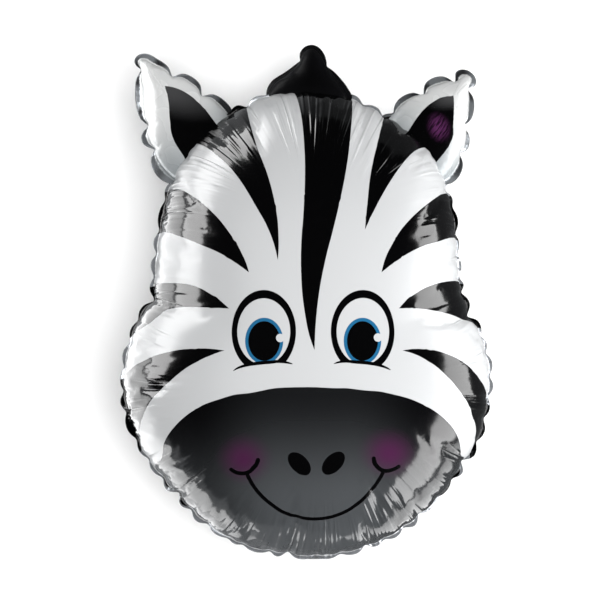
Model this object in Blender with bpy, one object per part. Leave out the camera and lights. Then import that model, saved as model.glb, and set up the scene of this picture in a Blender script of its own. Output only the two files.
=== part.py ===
"""Zebra head foil balloon, inflated, lying on its back with its face up.

Two foil sheets are welded together along one outline: a head, two ears and a tuft of mane.
+Z comes out of the face, +Y runs from the chin to the mane, and +X is the right of the picture.
The origin is on the floor, under the middle of the balloon's box. All sizes are in metres.
"""

import math

import bpy
from mathutils import Vector

# The head, measured between its welds, and how far each sheet bulges from the plane of the welds
HEAD_WIDTH = 0.495
HEAD_HEIGHT = 0.629
FACE_BULGE = 0.134
BACK_BULGE = 0.128
FLAT_SPOT_WIDTH = 0.132

# The ears, from the middle of their root on the head to the tip
EAR_LENGTH = 0.152
EAR_WIDTH = 0.116
EAR_BULGE = 0.027
LEFT_EAR_LEAN = math.radians(34)
RIGHT_EAR_LEAN = math.radians(-37)
LEFT_EAR_TIP_BACK = math.radians(7)
RIGHT_EAR_TIP_BACK = math.radians(23)

# The tuft of mane, from the forehead's weld to its top
MANE_HEIGHT = 0.074
MANE_WIDTH = 0.112
MANE_BULGE = 0.016
MANE_TIP_BACK = math.radians(20)

# The weld round every chamber, and the foil gathered into it
WELD_WIDTH = 0.008
WELD_THICKNESS = 0.0018
HEAD_PUCKER_SPACING = 0.034
EAR_PUCKER_SPACING = 0.046
MANE_PUCKER_SPACING = 0.046
HEAD_PUCKER_DEPTH = 0.010
EAR_PUCKER_DEPTH = 0.008
MANE_PUCKER_DEPTH = 0.003

# The tail that the balloon is filled through, folded down behind the chin's weld
TAIL_WIDTH = 0.026
TAIL_LENGTH = 0.062
TAIL_THICKNESS = 0.0018

# Outlines as shares, x of half the width and y of the height from the chin or from the root
HEAD_SHAPE = (
    (0.053, 1.000), (0.240, 0.985), (0.422, 0.951), (0.565, 0.917), (0.676, 0.874), (0.742, 0.824),
    (0.787, 0.768), (0.814, 0.710), (0.825, 0.643), (0.842, 0.584), (0.881, 0.532), (0.942, 0.487),
    (0.986, 0.437), (1.000, 0.374), (0.981, 0.305), (0.920, 0.238), (0.831, 0.182), (0.726, 0.126),
    (0.587, 0.076), (0.427, 0.036), (0.240, 0.010), (0.053, 0.000), (-0.139, 0.007), (-0.325, 0.023),
    (-0.489, 0.055), (-0.641, 0.105), (-0.783, 0.168), (-0.897, 0.230), (-0.973, 0.301),
    (-1.000, 0.372), (-0.978, 0.440), (-0.924, 0.507), (-0.853, 0.550), (-0.832, 0.590),
    (-0.818, 0.655), (-0.794, 0.723), (-0.750, 0.794), (-0.679, 0.861), (-0.554, 0.917),
    (-0.396, 0.958), (-0.237, 0.988), (-0.089, 1.000),
)
EAR_SHAPE = (
    (0.00, 1.00), (0.11, 0.965), (0.17, 0.90), (0.28, 0.80), (0.46, 0.67), (0.61, 0.57), (0.78, 0.44),
    (0.89, 0.33), (0.97, 0.17), (0.95, 0.00), (0.70, -0.18), (0.00, -0.24), (-0.70, -0.18),
    (-0.96, 0.02), (-0.97, 0.17), (-0.90, 0.33), (-0.80, 0.44), (-0.68, 0.57), (-0.57, 0.67),
    (-0.37, 0.80), (-0.21, 0.90), (-0.13, 0.97),
)
MANE_SHAPE = (
    (0.17, 0.99), (0.30, 0.88), (0.44, 0.68), (0.64, 0.43), (0.85, 0.16), (0.94, -0.02), (0.70, -0.25),
    (0.00, -0.30), (-0.70, -0.25), (-0.98, -0.02), (-0.95, 0.13), (-0.80, 0.30), (-0.52, 0.45),
    (-0.31, 0.61), (-0.20, 0.80), (-0.07, 0.94), (0.05, 1.00),
)

# Where the chambers meet the head, as shares of half its width and of its height
HEAD_MIDDLE = (0.00, 0.44)
LEFT_EAR_ROOT = (-0.576, 0.870)
RIGHT_EAR_ROOT = (0.590, 0.868)
MANE_ROOT = (0.01, 0.986)
CHIN = (0.053, 0.000)

# How fine the facets are
CURVE_STEPS = 12
SAMPLE_SPACING = 0.0115
HEAD_STATIONS = 9
EAR_STATIONS = 6
MANE_STATIONS = 5


def closed_curve(points, count):
    """Points evenly spaced along the smooth closed curve through the given ones."""
    fine = []
    for i in range(len(points)):
        a, b, c, d = (points[(i + k) % len(points)] for k in (-1, 0, 1, 2))
        for step in range(CURVE_STEPS):
            t = step / CURVE_STEPS
            fine.append(0.5 * (2 * b + (c - a) * t + (2 * a - 5 * b + 4 * c - d) * t**2
                               + (3 * b - a - 3 * c + d) * t**3))
    fine.append(fine[0])
    lengths = [0.0]
    for a, b in zip(fine, fine[1:]):
        lengths.append(lengths[-1] + (b - a).length)
    even, at = [], 0
    for i in range(count):
        wanted = lengths[-1] * i / count
        while lengths[at + 1] < wanted:
            at += 1
        share = (wanted - lengths[at]) / (lengths[at + 1] - lengths[at])
        even.append(fine[at].lerp(fine[at + 1], share))
    return even


def outline(shape, width, height, pucker_spacing, mirrored=False):
    """The weld's line, in metres, anticlockwise, and how deep the pucker at each sample is, up to 1."""
    if mirrored:
        turned = [(-x, y) for x, y in shape]
    else:
        turned = [shape[0], *reversed(shape[1:])]
    corners = [Vector((x * width / 2, y * height)) for x, y in turned]
    round_it = sum((b - a).length for a, b in zip(corners, corners[1:] + corners[:1]))
    between = max(2, round(pucker_spacing / SAMPLE_SPACING))
    count = between * round(round_it / pucker_spacing)
    dips = [0.75 + 0.25 * math.cos(2.4 * i) if i % between == 1 else 0.0 for i in range(count)]
    return closed_curve(corners, count), dips


def bulge_stations(count):
    """How an inflated pair of flat sheets bulges: (share of the way out, share of the bulge).

    A sheet that bends but can't stretch follows dz/du = -u^2 / sqrt(1 - u^4). With u^2 = sin(angle)
    that is half the sum of sqrt(sin(angle)) from the angle to a right angle.
    """
    fine = 400
    quarter = math.pi / 2
    sums = [0.0]
    for k in reversed(range(fine)):
        sums.append(sums[-1] + math.sqrt(math.sin((k + 0.5) * quarter / fine)))
    heights = [part / sums[-1] for part in reversed(sums)]
    return [
        (math.sqrt(math.sin(quarter * k / count)), heights[round(fine * k / count)])
        for k in range(1, count + 1)
    ]


def height_at(share):
    """The share of the bulge that is left at this share of the way out."""
    stations = [(0.0, 1.0), *bulge_stations(80)]
    for (u0, h0), (u1, h1) in zip(stations, stations[1:]):
        if share <= u1:
            return h0 + (h1 - h0) * (share - u0) / (u1 - u0)
    return 0.0


def foil_chamber(name, rim, dips, middle, bulges, pucker_depth, material, stations, flat_share=0.0):
    """One closed solid: two sheets bulging away from their weld, and the flat weld round them.

    The rim is the weld's line. At a pucker, where the foil is gathered into the weld, both dip in.
    """
    face_bulge, back_bulge = bulges
    count = len(rim)
    outward = []
    for i in range(count):
        along = rim[(i + 1) % count] - rim[i - 1]
        outward.append(Vector((along.y, -along.x)).normalized())
    half_weld = WELD_THICKNESS / 2

    def ring(share, height, side):
        """One loop of points at a share of the way out. A pucker pulls it in and flattens it."""
        near_rim = max(0.0, (share - 0.7) / 0.3) ** 2
        points = []
        for spot, out, dip in zip(rim, outward, dips):
            at = middle.lerp(spot, share) - out * (0.35 * pucker_depth * dip * near_rim)
            drop = min(pucker_depth * dip * near_rim, 0.5 * height)
            points.append((at.x, at.y, side * (half_weld + height - drop)))
        return points

    def weld_edge(side):
        """The outer edge of the weld, which every pucker draws in."""
        points = []
        for spot, out, dip in zip(rim, outward, dips):
            at = spot + out * max(WELD_WIDTH - pucker_depth * dip, 0.2 * WELD_WIDTH)
            points.append((at.x, at.y, side * half_weld))
        return points

    bulge = bulge_stations(stations)
    face = [ring(share, face_bulge * left, 1) for share, left in bulge]
    back = [ring(share, back_bulge * left, -1) for share, left in bulge if share > flat_share]
    back_height = back_bulge
    if flat_share:
        back_height = back_bulge * height_at(flat_share)
        back.insert(0, ring(flat_share, back_height, -1))
    loops = [*face, weld_edge(1), weld_edge(-1), *reversed(back)]

    points = [(middle.x, middle.y, half_weld + face_bulge)]
    for loop in loops:
        points.extend(loop)
    points.append((middle.x, middle.y, -half_weld - back_height))
    last = len(points) - 1
    faces = [(0, 1 + i, 1 + (i + 1) % count) for i in range(count)]
    for level in range(len(loops) - 1):
        inner, outer = 1 + level * count, 1 + (level + 1) * count
        for i in range(count):
            j = (i + 1) % count
            faces.append((inner + i, outer + i, outer + j, inner + j))
    start = 1 + (len(loops) - 1) * count
    faces.extend((start + i, last, start + (i + 1) % count) for i in range(count))
    return make_object(name, points, faces, material)


def make_object(name, points, faces, material):
    mesh = bpy.data.meshes.new(name)
    mesh.from_pydata(points, [], faces)
    mesh.materials.append(material)
    mesh.shade_smooth()
    obj = bpy.data.objects.new(name, mesh)
    bpy.context.scene.collection.objects.link(obj)
    return obj


def head_spot(shares):
    """A place in the plane of the welds, from shares of half the head's width and of its height."""
    return Vector((shares[0] * HEAD_WIDTH / 2, shares[1] * HEAD_HEIGHT))


def head(material):
    rim, dips = outline(HEAD_SHAPE, HEAD_WIDTH, HEAD_HEIGHT, HEAD_PUCKER_SPACING)
    middle = head_spot(HEAD_MIDDLE)
    nearest = min((spot - middle).length for spot in rim)
    flat_share = FLAT_SPOT_WIDTH / 2 / nearest
    return foil_chamber("foil_balloon", rim, dips, middle, (FACE_BULGE, BACK_BULGE), HEAD_PUCKER_DEPTH,
                        material, HEAD_STATIONS, flat_share)


def place_on_head(obj, root, lean, tip_back):
    """Turns a chamber about its root: lean to the side in the plane of the welds, tip back out of it."""
    spot = head_spot(root)
    obj.location = (spot.x, spot.y, 0)
    obj.rotation_euler = (-tip_back, 0, lean)


def ear(name, root, lean, tip_back, mirrored, material):
    rim, dips = outline(EAR_SHAPE, EAR_WIDTH, EAR_LENGTH, EAR_PUCKER_SPACING, mirrored)
    middle = Vector((0, EAR_LENGTH * 0.27))
    obj = foil_chamber(name, rim, dips, middle, (EAR_BULGE, EAR_BULGE), EAR_PUCKER_DEPTH,
                       material, EAR_STATIONS)
    place_on_head(obj, root, lean, tip_back)
    return obj


def mane(material):
    rim, dips = outline(MANE_SHAPE, MANE_WIDTH, MANE_HEIGHT, MANE_PUCKER_SPACING)
    middle = Vector((0, MANE_HEIGHT * 0.3))
    obj = foil_chamber("mane_tuft", rim, dips, middle, (MANE_BULGE, MANE_BULGE), MANE_PUCKER_DEPTH,
                       material, MANE_STATIONS)
    place_on_head(obj, MANE_ROOT, 0.0, MANE_TIP_BACK)
    return obj


def tail(material):
    """The flat filling neck. It leaves the chin's weld and hangs down behind it."""
    x, y = head_spot(CHIN) - Vector((0, WELD_WIDTH * 0.55))
    half_width, half_thick = TAIL_WIDTH / 2, TAIL_THICKNESS / 2
    profile = [(half_width, 0.0), (half_width * 0.72, -TAIL_LENGTH * 0.25),
               (half_width * 0.72, -TAIL_LENGTH * 0.8), (half_width, -TAIL_LENGTH)]
    side = [(w, z) for w, z in profile] + [(-w, z) for w, z in reversed(profile)]
    points = [(x + w, y + out * half_thick, z) for out in (-1, 1) for w, z in side]
    count = len(side)
    faces = [tuple(range(count - 1, -1, -1)), tuple(range(count, 2 * count))]
    faces.extend((i, (i + 1) % count, count + (i + 1) % count, count + i) for i in range(count))
    return make_object("filling_tail", points, faces, material)


def weld_into(whole, chamber):
    """Joins a chamber to the head, as the one welded outline does."""
    chamber.hide_render = True
    chamber.display_type = "WIRE"
    union = whole.modifiers.new("join_" + chamber.name, "BOOLEAN")
    union.operation = "UNION"
    union.object = chamber


def stand_on_origin(frame, whole):
    """Moves everything so that the origin is on the floor under the middle of the whole's box."""
    bpy.context.view_layer.update()
    shown = whole.evaluated_get(bpy.context.evaluated_depsgraph_get())
    corners = [shown.matrix_world @ vertex.co for vertex in shown.data.vertices]
    low = [min(corner[k] for corner in corners) for k in range(3)]
    high = [max(corner[k] for corner in corners) for k in range(3)]
    frame.location = (-(low[0] + high[0]) / 2, -(low[1] + high[1]) / 2, -low[2])


def foil_material():
    material = bpy.data.materials.new("printed_foil")
    material.use_nodes = True
    shader = material.node_tree.nodes["Principled BSDF"]
    shader.inputs["Base Color"].default_value = (0.84, 0.85, 0.86, 1)
    shader.inputs["Roughness"].default_value = 0.24
    shader.inputs["Metallic"].default_value = 0.25
    return material


def main():
    for obj in list(bpy.data.objects):
        bpy.data.objects.remove(obj)
    foil = foil_material()
    whole = head(foil)
    chambers = [
        ear("left_ear", LEFT_EAR_ROOT, LEFT_EAR_LEAN, LEFT_EAR_TIP_BACK, True, foil),
        ear("right_ear", RIGHT_EAR_ROOT, RIGHT_EAR_LEAN, RIGHT_EAR_TIP_BACK, False, foil),
        mane(foil),
        tail(foil),
    ]
    frame = bpy.data.objects.new("balloon_frame", None)
    bpy.context.scene.collection.objects.link(frame)
    for obj in (whole, *chambers):
        obj.parent = frame
    for chamber in chambers:
        weld_into(whole, chamber)
    stand_on_origin(frame, whole)


main()
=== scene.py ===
"""Zebra head foil balloon, inflated and lying on its back on a pale floor, with its face up.

The pieces are put together as the real balloon is: the head's two sheets are cut, welded and filled
with gas, then come the ears, the tuft of mane and the filling tail, and the floor and lights last.
All sizes are in metres, +Z comes out of the face and +Y runs from the chin to the mane.
"""

import math
import random

import bmesh
import bpy
from mathutils import Euler, Matrix, Vector
from mathutils.bvhtree import BVHTree
from mathutils.geometry import delaunay_2d_cdt
from mathutils.interpolate import poly_3d_calc
from mathutils.kdtree import KDTree


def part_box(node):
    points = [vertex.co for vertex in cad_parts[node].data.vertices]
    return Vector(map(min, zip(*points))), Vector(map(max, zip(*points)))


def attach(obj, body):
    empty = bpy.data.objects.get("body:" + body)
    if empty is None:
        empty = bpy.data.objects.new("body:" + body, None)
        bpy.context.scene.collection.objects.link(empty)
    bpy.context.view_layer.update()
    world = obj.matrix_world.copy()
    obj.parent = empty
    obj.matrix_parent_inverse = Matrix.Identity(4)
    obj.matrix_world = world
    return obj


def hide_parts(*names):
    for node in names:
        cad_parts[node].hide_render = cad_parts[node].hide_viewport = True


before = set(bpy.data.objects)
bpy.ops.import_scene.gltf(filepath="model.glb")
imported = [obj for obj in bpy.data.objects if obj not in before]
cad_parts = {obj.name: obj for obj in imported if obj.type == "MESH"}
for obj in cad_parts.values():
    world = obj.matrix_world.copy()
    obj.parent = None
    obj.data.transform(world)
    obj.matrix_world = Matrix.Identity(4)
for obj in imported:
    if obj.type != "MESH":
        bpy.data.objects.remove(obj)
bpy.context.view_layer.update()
bpy.ops.object.select_all(action="DESELECT")
scene = bpy.context.scene


# Where the photograph was taken from
# The camera looks down on the face from 3 m, 4 degrees from straight above. The same numbers say
# which point of the foil a place in the 600 pixel photograph shows, which is how the print is laid.
PHOTO_SIZE = 600
CAMERA_DISTANCE = 3.0
CAMERA_TILT = math.radians(-4)
AIM = Vector((0, 0, 0.128))
AIM_PIXEL = Vector((307, 302))
FOCAL_PIXELS = 2211.4
SENSOR_WIDTH = 0.036
PIXEL = CAMERA_DISTANCE / FOCAL_PIXELS

camera_turn = Euler((0, CAMERA_TILT, 0)).to_matrix()
camera_spot = AIM + camera_turn @ Vector((0, 0, CAMERA_DISTANCE))
camera_data = bpy.data.cameras.new("photo_camera")
camera_data.sensor_width = SENSOR_WIDTH * 1000
camera_data.lens = FOCAL_PIXELS / PHOTO_SIZE * SENSOR_WIDTH * 1000
camera_data.shift_x = (PHOTO_SIZE / 2 - AIM_PIXEL.x) / PHOTO_SIZE
camera_data.shift_y = (AIM_PIXEL.y - PHOTO_SIZE / 2) / PHOTO_SIZE
camera = bpy.data.objects.new("photo_camera", camera_data)
scene.collection.objects.link(camera)
camera.matrix_world = Matrix.Translation(camera_spot) @ camera_turn.to_4x4()
scene.camera = camera


def sight_line(pixel):
    """The direction in which a pixel of the photograph looks."""
    x, y = pixel
    ray = Vector((x - AIM_PIXEL.x, AIM_PIXEL.y - y, -FOCAL_PIXELS))
    return (camera_turn @ ray).normalized()


def pixel_of(point):
    """The pixel of the photograph at which a point is seen."""
    ray = camera_turn.transposed() @ (point - camera_spot)
    return AIM_PIXEL + Vector((ray.x, -ray.y)) * (FOCAL_PIXELS / -ray.z)


# The head's foil
# Two sheets of printed polyester film are welded together along the head's outline. Filled with
# gas, foil bends but can't stretch, so the sheets bulge, and the weld is gathered into puckers,
# from which folds run up both sheets. Cloth with pressure, cut to the flat sheets' size, finds them.
HEAD_WIDTH = 0.495
HEAD_HEIGHT = 0.629
FACE_BULGE = 0.134
BACK_BULGE = 0.128
HALF_WELD = 0.0009
WELD_WIDTH = 0.008
LEAST_WELD = 0.001
GATHER_WIDTH = 0.007
LOBE_ROUNDNESS = 0.7
LOBE_TIP = 3
CURVE_STEPS = 12
HEAD_MIDDLE = (0.00, 0.44)
HEAD_SHAPE = (
    (0.053, 1.000), (0.240, 0.985), (0.422, 0.951), (0.565, 0.917), (0.676, 0.874), (0.742, 0.824),
    (0.787, 0.768), (0.814, 0.710), (0.825, 0.643), (0.842, 0.584), (0.881, 0.532), (0.942, 0.487),
    (0.986, 0.437), (1.000, 0.374), (0.981, 0.305), (0.920, 0.238), (0.831, 0.182), (0.726, 0.126),
    (0.587, 0.076), (0.427, 0.036), (0.240, 0.010), (0.053, 0.000), (-0.139, 0.007), (-0.325, 0.023),
    (-0.489, 0.055), (-0.641, 0.105), (-0.783, 0.168), (-0.897, 0.230), (-0.973, 0.301),
    (-1.000, 0.372), (-0.978, 0.440), (-0.924, 0.507), (-0.853, 0.550), (-0.832, 0.590),
    (-0.818, 0.655), (-0.794, 0.723), (-0.750, 0.794), (-0.679, 0.861), (-0.554, 0.917),
    (-0.396, 0.958), (-0.237, 0.988), (-0.089, 1.000),
)
HEAD_GATHERS = {
    "spacing": 0.031, "depth": 0.0024, "lift": 0.002, "seed": 3, "lobes": (0.005, 0.0085),
    "creases": (
        # (pixel, depth)
        ((153, 299), 0.006), ((470, 314), 0.006), ((179, 494), 0.006), ((288, 555), 0.005),
        ((366, 545), 0.004), ((416, 512), 0.004), ((459, 458), 0.006), ((246, 108), 0.005),
        ((384.7, 115), 0.005), ((170, 180), 0.004), ((449, 191), 0.004),
    )}
HEAD_FACET = 0.0062
BACK_FACET = 0.0090
WELD_FACET = 0.76
FINE_FROM = 0.5
RIM_MARGIN = 0.6
GAS_FRAMES = 30
GAS_PRESSURE = 1500
FOIL_STIFFNESS = 1000
SLACK_LEFT = 0.12
FLATTENED = 0.001
COARSER = 1.0

cad_low, cad_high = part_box("foil_balloon")
weld_height = cad_high.z - FACE_BULGE - HALF_WELD
chin_y = cad_low.y + WELD_WIDTH


def head_spot(shares):
    """A place in the plane of the weld, from shares of half the head's width and of its height."""
    return Vector((shares[0] * HEAD_WIDTH / 2, chin_y + shares[1] * HEAD_HEIGHT))


def closed_line(corners, gap):
    """Points about a gap apart on the smooth closed line through the corners."""
    fine = []
    for i in range(len(corners)):
        a, b, c, d = (corners[(i + k) % len(corners)] for k in (-1, 0, 1, 2))
        for step in range(CURVE_STEPS):
            t = step / CURVE_STEPS
            fine.append(0.5 * (2 * b + (c - a) * t + (2 * a - 5 * b + 4 * c - d) * t**2
                               + (3 * b - a - 3 * c + d) * t**3))
    fine.append(fine[0])
    lengths = [0.0]
    for a, b in zip(fine, fine[1:]):
        lengths.append(lengths[-1] + (b - a).length)
    count = round(lengths[-1] / gap)
    line, at = [], 0
    for i in range(count):
        wanted = lengths[-1] * i / count
        while lengths[at + 1] < wanted:
            at += 1
        line.append(fine[at].lerp(fine[at + 1], (wanted - lengths[at]) / (lengths[at + 1] - lengths[at])))
    return line


def gathered_weld(line, place, spacing, depth, lift, seed, lobes, creases):
    """The weld's inner and outer line: drawn in at each gather, and tipped up or down between two.

    The deep gathers are where the photograph shows a crease, and small ones lie between them. The
    weld shows least at a gather, and lobes is the least and most that it is wide between two.
    """
    draw = random.Random(seed)
    steps = [(b - a).length for a, b in zip(line, line[1:] + line[:1])]
    along_line = [sum(steps[:i]) for i in range(len(line))]
    total = sum(steps)
    pixels = [pixel_of(place @ spot.to_3d()) for spot in line]
    gathers = []
    for pixel, deep in creases:
        nearest = min(range(len(line)), key=lambda i: (pixels[i] - Vector(pixel)).length)
        gathers.append((along_line[nearest], deep))
    gathers.sort()
    between_creases = []
    for (start, _), (end, _) in zip(gathers, gathers[1:] + [(gathers[0][0] + total, 0)]):
        parts = max(1, round((end - start) / spacing))
        for part in range(1, parts):
            shift = draw.uniform(-0.2, 0.2)
            between_creases.append(((start + (end - start) * (part + shift) / parts) % total,
                                    depth * draw.uniform(0.2, 1.0)))
    gathers = sorted(gathers + between_creases)
    lifts = [lift * draw.uniform(-1, 1) for _ in gathers]
    widths = [draw.uniform(*lobes) for _ in gathers]
    inner, outer = [], []
    for i, at in enumerate(along_line):
        after = next((k for k, gather in enumerate(gathers) if gather[0] > at), 0)
        before = after - 1
        from_before = (at - gathers[before][0]) % total
        to_after = (gathers[after][0] - at) % total
        swell = math.sin(math.pi * from_before / (from_before + to_after))
        dip = sum(deep * math.exp(-(away / GATHER_WIDTH) ** 2) for deep, away in (
            (gathers[before][1], from_before), (gathers[after][1], to_after)))
        along = line[(i + 1) % len(line)] - line[i - 1]
        outward = Vector((along.y, -along.x)).normalized()
        spot = line[i] - outward * dip
        edge = spot + outward * (LEAST_WELD + (widths[before] - LEAST_WELD) * swell**LOBE_ROUNDNESS)
        inner.append(Vector((spot.x, spot.y, lifts[before] * swell)))
        outer.append(Vector((edge.x, edge.y, lifts[before] * swell * LOBE_TIP)))
    return inner, outer


DIRECTIONS = 720
STATIONS = 120
STATION_PARTS = 8


def turn_of(offset):
    """The direction of an offset from the middle, as a share of the DIRECTIONS."""
    return (math.atan2(offset.y, offset.x) % (2 * math.pi)) / (2 * math.pi) * DIRECTIONS


def reach_of(line, middle):
    """How far the line is from the middle, in each direction."""
    reach = [0.0] * DIRECTIONS
    polar = [(turn_of(spot - middle), (spot - middle).length) for spot in line]
    for (a, near), (b, far) in zip(polar, polar[1:] + polar[:1]):
        span = (b - a) % DIRECTIONS
        if span > DIRECTIONS / 2:
            continue
        for k in range(math.ceil(a), math.ceil(a + span)):
            reach[k % DIRECTIONS] = near + (far - near) * (k - a) / span
    return reach


def bulge_profile():
    """Inflated foil from its middle to its weld: (share of the way out, share of the height left).

    Foil that bends but can't stretch follows dz/du = -u^2 / sqrt(1 - u^4), and with u^2 = sin(angle)
    the height left is the sum of sqrt(sin(angle)) from there to a right angle.
    """
    quarter = math.pi / 2
    left = [0.0]
    for k in reversed(range(STATIONS)):
        angles = [(k + (part + 0.5) / STATION_PARTS) * quarter / STATIONS for part in range(STATION_PARTS)]
        parts = [math.sqrt(math.sin(angle)) for angle in angles]
        left.append(left[-1] + sum(parts))
    return [(math.sqrt(math.sin(quarter * k / STATIONS)), left[STATIONS - k] / left[-1])
            for k in range(STATIONS + 1)]


PROFILE = bulge_profile()
WELD_NEIGHBOURS = 24


def cut_of_foil(reach, bulge):
    """One line from the middle to the weld, as (length on the flat foil, share out, low height, slack).

    The low height is that of a flatter dome, with every length shorter by 1 + slack than on the flat
    foil, both along this line and across it. Cloth that starts there only has to grow by its slack.
    """
    spots = [(share * reach, left * bulge) for share, left in PROFILE]
    lengths = [0.0]
    for (u0, z0), (u1, z1) in zip(spots, spots[1:]):
        lengths.append(lengths[-1] + math.hypot(u1 - u0, z1 - z0))
    grown = [1.0] + [1 + SLACK_LEFT * (length / u - 1) for length, (u, z) in zip(lengths[1:], spots[1:])]
    low = [0.0]
    for k in reversed(range(STATIONS)):
        step = (lengths[k + 1] - lengths[k]) / ((grown[k] + grown[k + 1]) / 2)
        low.append(low[-1] + math.sqrt(max(0.0, step**2 - (spots[k + 1][0] - spots[k][0]) ** 2)))
    return [(length, share, height, growth - 1)
            for length, (share, left), height, growth in zip(lengths, PROFILE, reversed(low), grown)]


def between(row_a, row_b, share):
    return [a + (b - a) * share for a, b in zip(row_a, row_b)]


def row_at_length(cut, length_share):
    """The cut's row at a share of its whole length, found by halving."""
    wanted = length_share * cut[-1][0]
    low, high = 0, STATIONS
    while high - low > 1:
        half = (low + high) // 2
        if cut[half][0] <= wanted:
            low = half
        else:
            high = half
    span = cut[high][0] - cut[low][0]
    return between(cut[low], cut[high], (wanted - cut[low][0]) / span)


def flat_grid(cuts, facet):
    """Even points on a flat sheet, twice as far apart near its middle, which stays smooth."""
    size = max(cut[-1][0] for cut in cuts)
    rows = int(size / (facet * math.sqrt(3) / 2)) + 1
    columns = int(size / facet) + 1
    for row in range(-rows, rows + 1):
        for column in range(-columns, columns + 1):
            spot = Vector(((column + (row % 2) / 2) * facet, row * facet * math.sqrt(3) / 2))
            length = cuts[int(turn_of(spot)) % DIRECTIONS][-1][0]
            on_coarse_grid = row % 2 == 0 and (column + row // 2) % 2 == 0
            in_fine_part = spot.length > FINE_FROM * length
            if spot.length < length - RIM_MARGIN * facet and (on_coarse_grid or in_fine_part):
                yield spot


def nearest_on_weld(rim):
    """Gives, for a place on a flat sheet, the part of its weld that is nearest, on a unit circle.

    It is the middle of the nearest points, so that it changes smoothly from one place to the next.
    """
    tree = KDTree(len(rim))
    for i, spot in enumerate(rim):
        tree.insert(spot.to_3d(), i)
    tree.balance()

    def round_weld(spot):
        near = tree.find_n(spot.to_3d(), WELD_NEIGHBOURS)
        total = Vector((0, 0, 0))
        for _, i, away in near:
            turn = i / len(rim) * 2 * math.pi
            total += Vector((math.cos(turn), math.sin(turn), 0)) * (near[-1][2] - away) ** 2
        return total.normalized()

    return round_weld


def welded_sheets(name, corners, middle, bulges, facets, place_of_chamber, gathers):
    """Two flat sheets welded round their edge, each as the low dome that its slack turns into a bulge.

    Three attributes follow the foil: print_spot is the place on the flat sheet, with +1 for the
    face's sheet and -1 for the back's, out_share runs from 0 in the middle to 1 at the weld, and
    round_weld says which part of the weld is nearest, as a point on a unit circle.
    """
    line = closed_line(corners, facets[0] * WELD_FACET)
    inner, outer = gathered_weld(line, place_of_chamber, **gathers)
    smooth, drawn = reach_of(line, middle), reach_of([spot.xy for spot in inner], middle)
    count = len(line)
    turns = [turn_of(spot.xy - middle) for spot in inner]

    def ring(spots, lift):
        return [Vector((spot.x, spot.y, spot.z + lift)) for spot in spots]

    verts = ring(inner, HALF_WELD / 2) + ring(inner, -HALF_WELD / 2)
    verts += ring(outer, HALF_WELD / 2) + ring(outer, -HALF_WELD / 2)
    prints, shares, slacks, rounds, faces = [], [], [], [], []
    tops = {}
    for side, bulge in zip((1, -1), bulges):
        tops[side] = [cut_of_foil(reach, bulge) for reach in smooth]
    for ring_share, width in ((1.0, 0.0), (1.1, WELD_WIDTH)):
        for side in (1, -1):
            for i, turn in enumerate(turns):
                rounds.append((math.cos(i / count * 2 * math.pi), math.sin(i / count * 2 * math.pi), 0.0))
                length = tops[side][int(turn) % DIRECTIONS][-1][0] + width
                angle = turn / DIRECTIONS * 2 * math.pi
                prints.append((math.cos(angle) * length, math.sin(angle) * length, side))
                shares.append(ring_share)
                slacks.append(tops[side][int(turn) % DIRECTIONS][-1][3])
    for i in range(count):
        j = (i + 1) % count
        faces.append((i, 2 * count + i, 2 * count + j, j))
        faces.append((2 * count + i, 3 * count + i, 3 * count + j, 2 * count + j))
        faces.append((3 * count + i, count + i, count + j, 3 * count + j))

    for side, facet in zip((1, -1), facets):
        cuts = tops[side]
        crown = sum(cut[0][2] for cut in cuts) / DIRECTIONS
        rim = [Vector(spot[:2]) for spot in prints[:count]] if side == 1 else [
            Vector(spot[:2]) for spot in prints[count:2 * count]]
        round_weld = nearest_on_weld(rim)
        inside = list(flat_grid(cuts, facet))
        edges = [(i, (i + 1) % count) for i in range(count)]
        flat, _, triangles = delaunay_2d_cdt(rim + inside, edges, [], 1, 1e-7)[:3]
        place = {}
        for i, spot in enumerate(flat):
            if i < count:
                place[i] = i if side == 1 else count + i
                continue
            turn = turn_of(spot)
            k, part = int(turn) % DIRECTIONS, turn - int(turn)
            after = (k + 1) % DIRECTIONS
            out = spot.length / (cuts[k][-1][0] * (1 - part) + cuts[after][-1][0] * part)
            out = min(out, 0.9999)
            rows = [row_at_length(cuts[at], out) for at in (k, after)]
            length, share, low, slack = between(*rows, part)
            low *= crown / (cuts[k][0][2] * (1 - part) + cuts[after][0][2] * part)
            pull = max(0.0, (out - FINE_FROM) / (1 - FINE_FROM)) ** 2
            reaches = [smooth[at] + (drawn[at] - smooth[at]) * pull for at in (k, after)]
            reach = reaches[0] * (1 - part) + reaches[1] * part
            at = middle + spot.normalized() * (share * reach) if spot.length else middle
            place[i] = len(verts)
            verts.append(Vector((at.x, at.y, side * low)))
            prints.append((spot.x, spot.y, side))
            rounds.append(round_weld(spot))
            shares.append(out)
            slacks.append(slack)
        for triangle in triangles:
            around = triangle if side == 1 else reversed(triangle)
            faces.append([place[i] for i in around])

    mesh = bpy.data.meshes.new(name)
    mesh.from_pydata(verts, [], faces)
    spots = mesh.attributes.new("print_spot", "FLOAT_VECTOR", "POINT")
    spots.data.foreach_set("vector", [value for spot in prints for value in spot])
    mesh.attributes.new("out_share", "FLOAT", "POINT").data.foreach_set("value", shares)
    circle = mesh.attributes.new("round_weld", "FLOAT_VECTOR", "POINT")
    circle.data.foreach_set("vector", [value for spot in rounds for value in spot])
    foil = bpy.data.objects.new(name, mesh)
    scene.collection.objects.link(foil)
    foil.vertex_groups.new(name="weld").add(range(4 * count), 1.0, "REPLACE")
    most = max(slacks)
    taut = foil.vertex_groups.new(name="taut")
    for i, slack in enumerate(slacks):
        taut.add([i], max(0.0, 1 - slack / most), "REPLACE")
    return foil, most


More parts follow.
